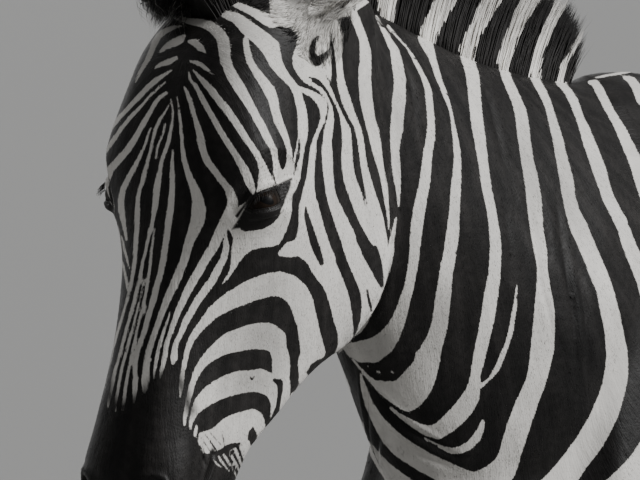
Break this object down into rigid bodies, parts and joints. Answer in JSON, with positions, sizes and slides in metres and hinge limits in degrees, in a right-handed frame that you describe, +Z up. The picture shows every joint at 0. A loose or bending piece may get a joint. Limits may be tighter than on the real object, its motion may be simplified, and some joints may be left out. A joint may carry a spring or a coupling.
{
  "type": "zebra",
  "caption": "Life-size standing zebra, a still museum-style figure with striped coat, upright mane, hanging head turned slightly to its right, ears, tufted tail and flat-soled hooves.",
  "frame": {"origin": "centre of the bounding box on the floor, under the standing animal", "axes": "+Z up, the animal faces -Y, its left side is +X"},
  "size_m": [0.5264, 1.8154, 1.4962],
  "materials": {
    "coat": "short flat hair in black and off-white stripes, dark bare muzzle",
    "hair": "long coarse hair, striped on the mane and dark on the tail tuft",
    "hoof": "dark worn horn",
    "eye": "wet, very dark brown"
  },
  "bodies": {
    "root": {"cannon_front_left": "coat", "cannon_front_right": "coat", "cannon_hind_left": "coat", "cannon_hind_right": "coat", "ear_left": "coat", "ear_right": "coat", "eye_left": "eye", "eye_right": "eye", "forearm_front_left": "coat", "forearm_front_right": "coat", "gaskin_hind_left": "coat", "gaskin_hind_right": "coat", "head": "coat", "hoof_front_left": "hoof", "hoof_front_right": "hoof", "hoof_hind_left": "hoof", "hoof_hind_right": "hoof", "mane": "hair", "neck": "coat", "tail": "coat", "tail_tuft": "hair", "trunk": "coat"}
  },
  "joints": []
}
